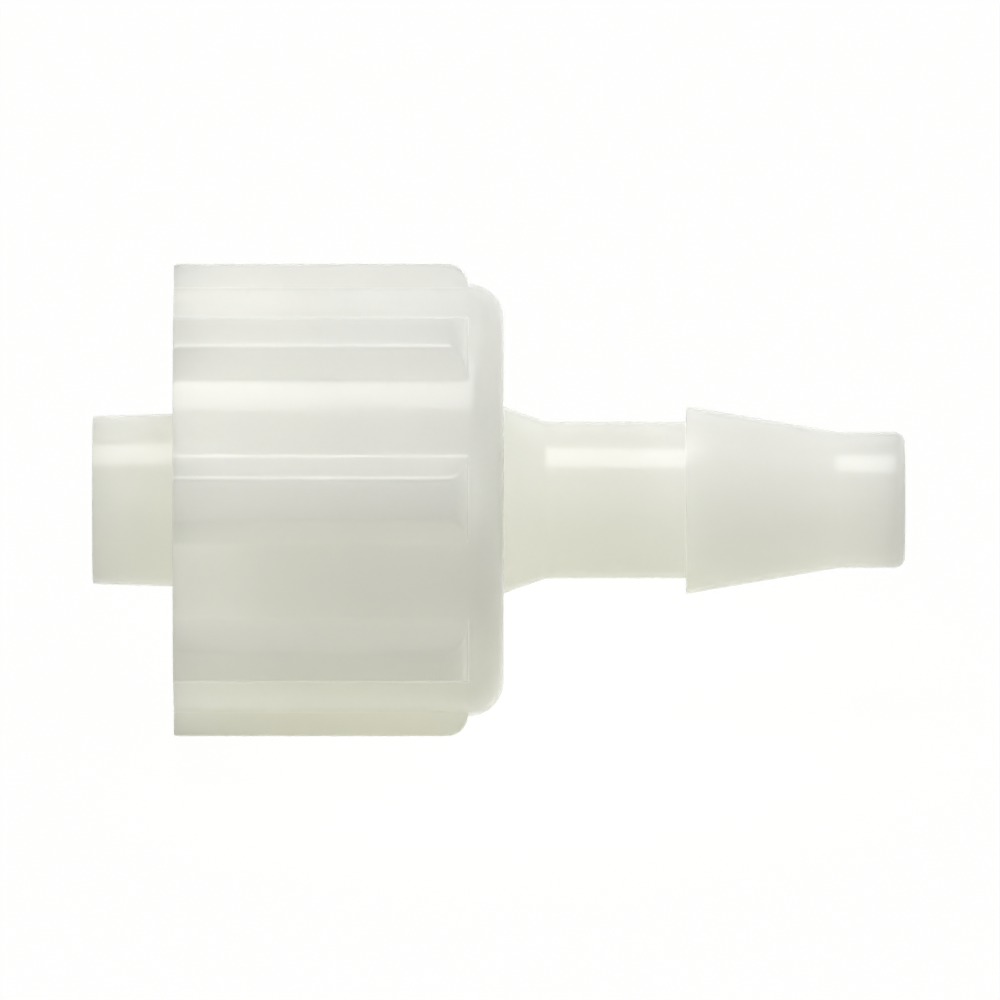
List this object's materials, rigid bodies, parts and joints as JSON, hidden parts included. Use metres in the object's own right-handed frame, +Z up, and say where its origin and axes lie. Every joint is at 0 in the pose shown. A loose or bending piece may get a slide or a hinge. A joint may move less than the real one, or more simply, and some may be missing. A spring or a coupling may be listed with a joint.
{
  "type": "male luer lock to hose barb fitting",
  "caption": "Male luer taper in a ribbed, internally threaded lock collar, with a hose barb behind it, joining soft tubing to a female luer port.",
  "frame": {"origin": "on the axis, at the open end face of the luer cone", "axes": "+X along the axis from the luer cone to the hose end, +Z up with the fitting lying on two of its grip ribs"},
  "size_m": [0.0191, 0.0106, 0.0106],
  "materials": {
    "moulded_plastic": "natural milky translucent polypropylene, satin to semi-gloss as moulded"
  },
  "bodies": {
    "root": {"luer_lock_fitting": "moulded_plastic"}
  },
  "joints": []
}
